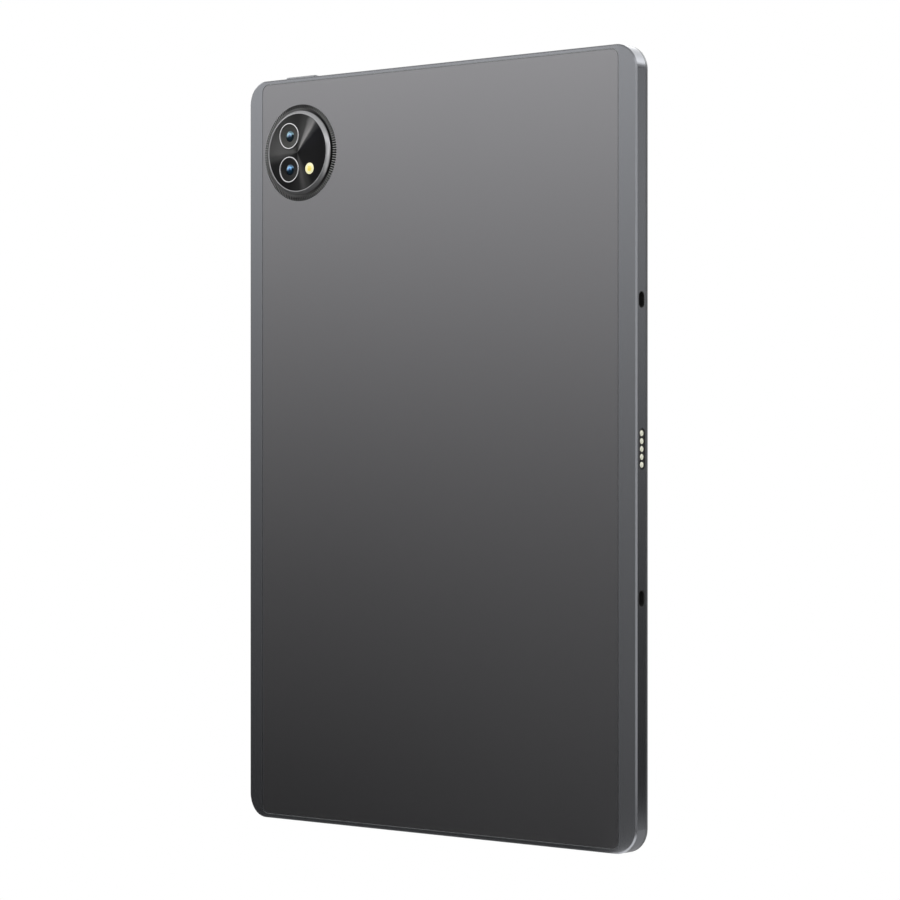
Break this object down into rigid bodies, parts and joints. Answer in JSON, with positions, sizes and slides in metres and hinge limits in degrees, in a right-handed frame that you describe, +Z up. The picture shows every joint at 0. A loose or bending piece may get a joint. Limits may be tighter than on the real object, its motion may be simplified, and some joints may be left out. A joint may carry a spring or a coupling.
{
  "type": "tablet computer",
  "caption": "Slim tablet computer with a metal rear plate, round camera module, side keyboard contacts, sprung keys and a sliding card tray.",
  "frame": {"origin": "centre of the lower short edge, in the mouth of the charging socket, half way through the body's thickness", "axes": "+X across the width towards the volume rocker, +Y out of the rear cover, +Z up the long sides towards the camera"},
  "size_m": [0.169, 0.0092, 0.2578],
  "materials": {
    "frame_metal": "fine bead-blasted grey anodising, bright cut chamfer",
    "plate_metal": "satin graphite-grey anodising with very fine grain",
    "adhesive": "thin black adhesive",
    "screen_glass": "clear polished cover glass",
    "bezel_plastic": "dark grey satin moulding",
    "seal_foam": "matte black foam",
    "display_panel": "black panel behind clear film",
    "light_guide": "milky moulded sheet",
    "steel_sheet": "stamped sheet",
    "deck_metal": "die-cast and milled",
    "knurl_metal": "dark anodised fine knurl",
    "rim_metal": "polished dark metal",
    "black_glass": "black back-printed glass with circular brushed rays",
    "black_plastic": "fine matte moulding",
    "lens_trim": "turned satin ring",
    "lens_glass": "coated glass with a blue cast",
    "camera_barrel": "black stepped barrel",
    "flash_lens": "warm translucent lens",
    "ceramic_chip": "white ceramic with yellow phosphor",
    "carrier_plastic": "fine matte moulding",
    "contact_gold": "gold-plated domed pads",
    "circuit_board": "solder mask over copper",
    "key_metal": "bead-blasted anodising",
    "switch_plastic": "moulded switch body",
    "flex_film": "amber polyimide film",
    "tray_metal": "anodised face on a moulded tray",
    "screw_steel": "blackened machine screws",
    "socket_steel": "drawn steel shell",
    "tongue_plastic": "moulded tongue with contacts",
    "cell_wrap": "black film wrap",
    "shield_metal": "tinned stamped can",
    "chip_black": "moulded chip package",
    "speaker_plastic": "glass-filled moulding",
    "mesh_metal": "woven acoustic mesh",
    "graphite": "pressed graphite foil"
  },
  "bodies": {
    "tablet": {"battery_guard_board": "circuit_board", "battery_left": "cell_wrap", "battery_right": "cell_wrap", "battery_tapes": "adhesive", "board_screws": "screw_steel", "board_to_board_flex": "flex_film", "camera_base": "black_plastic", "camera_bracket": "steel_sheet", "camera_disc": "black_glass", "card_reader": "steel_sheet", "contact_carrier": "carrier_plastic", "cover_glass": "screen_glass", "display_tray": "steel_sheet", "dock_board": "circuit_board", "dock_contacts": "contact_gold", "dock_flex": "flex_film", "flash_emitter": "ceramic_chip", "flash_window": "flash_lens", "front_bezel": "bezel_plastic", "front_camera": "camera_barrel", "glass_gasket": "seal_foam", "graphite_sheet": "graphite", "knurled_ring": "knurl_metal", "lcd_panel": "display_panel", "lens_glass_lower": "lens_glass", "lens_glass_upper": "lens_glass", "lens_ring_lower": "lens_trim", "lens_ring_upper": "lens_trim", "lever_pin": "screw_steel", "light_guide": "light_guide", "light_sensor": "chip_black", "lower_board": "circuit_board", "main_board": "circuit_board", "memory_chip": "chip_black", "mid_frame": "frame_metal", "mid_plate": "deck_metal", "plate_tape": "adhesive", "polished_rim": "rim_metal", "power_key_flex": "flex_film", "power_switch": "switch_plastic", "processor": "chip_black", "rear_camera_lower": "camera_barrel", "rear_camera_upper": "camera_barrel", "rear_plate": "plate_metal", "shield_can_left": "shield_metal", "shield_can_right": "shield_metal", "side_key_flex": "flex_film", "slot_liners": "black_plastic", "speaker_lower_left": "speaker_plastic", "speaker_lower_right": "speaker_plastic", "speaker_meshes": "mesh_metal", "speaker_upper_left": "speaker_plastic", "speaker_upper_right": "speaker_plastic", "usb_shell": "socket_steel", "usb_tongue": "tongue_plastic", "volume_switches": "switch_plastic"},
    "power_key": {"power_button": "key_metal"},
    "volume_key": {"volume_rocker": "key_metal"},
    "card_drawer": {"card_tray": "tray_metal"},
    "eject_arm": {"eject_lever": "steel_sheet"}
  },
  "joints": [
    {"name": "power_press", "type": "slide", "parent": "tablet", "child": "power_key", "axis": [0, 0, -1], "range_m": [0, 0.0003], "stiffness_N_per_m": 1500, "springref_m": -0.0003},
    {"name": "volume_rock", "type": "hinge", "parent": "tablet", "child": "volume_key", "pos_m": [0.0825, 0.0005, 0.221], "axis": [0, 1, 0], "range_deg": [-1.2, 1.2], "stiffness_Nm_per_rad": 0.7},
    {"name": "card_slide", "type": "slide", "parent": "tablet", "child": "card_drawer", "axis": [1, 0, 0], "range_m": [0, 0.018]},
    {"name": "eject_turn", "type": "hinge", "parent": "tablet", "child": "eject_arm", "pos_m": [0.0559, 0.0005, 0.1807], "axis": [0, 1, 0], "range_deg": [0, 8]}
  ]
}
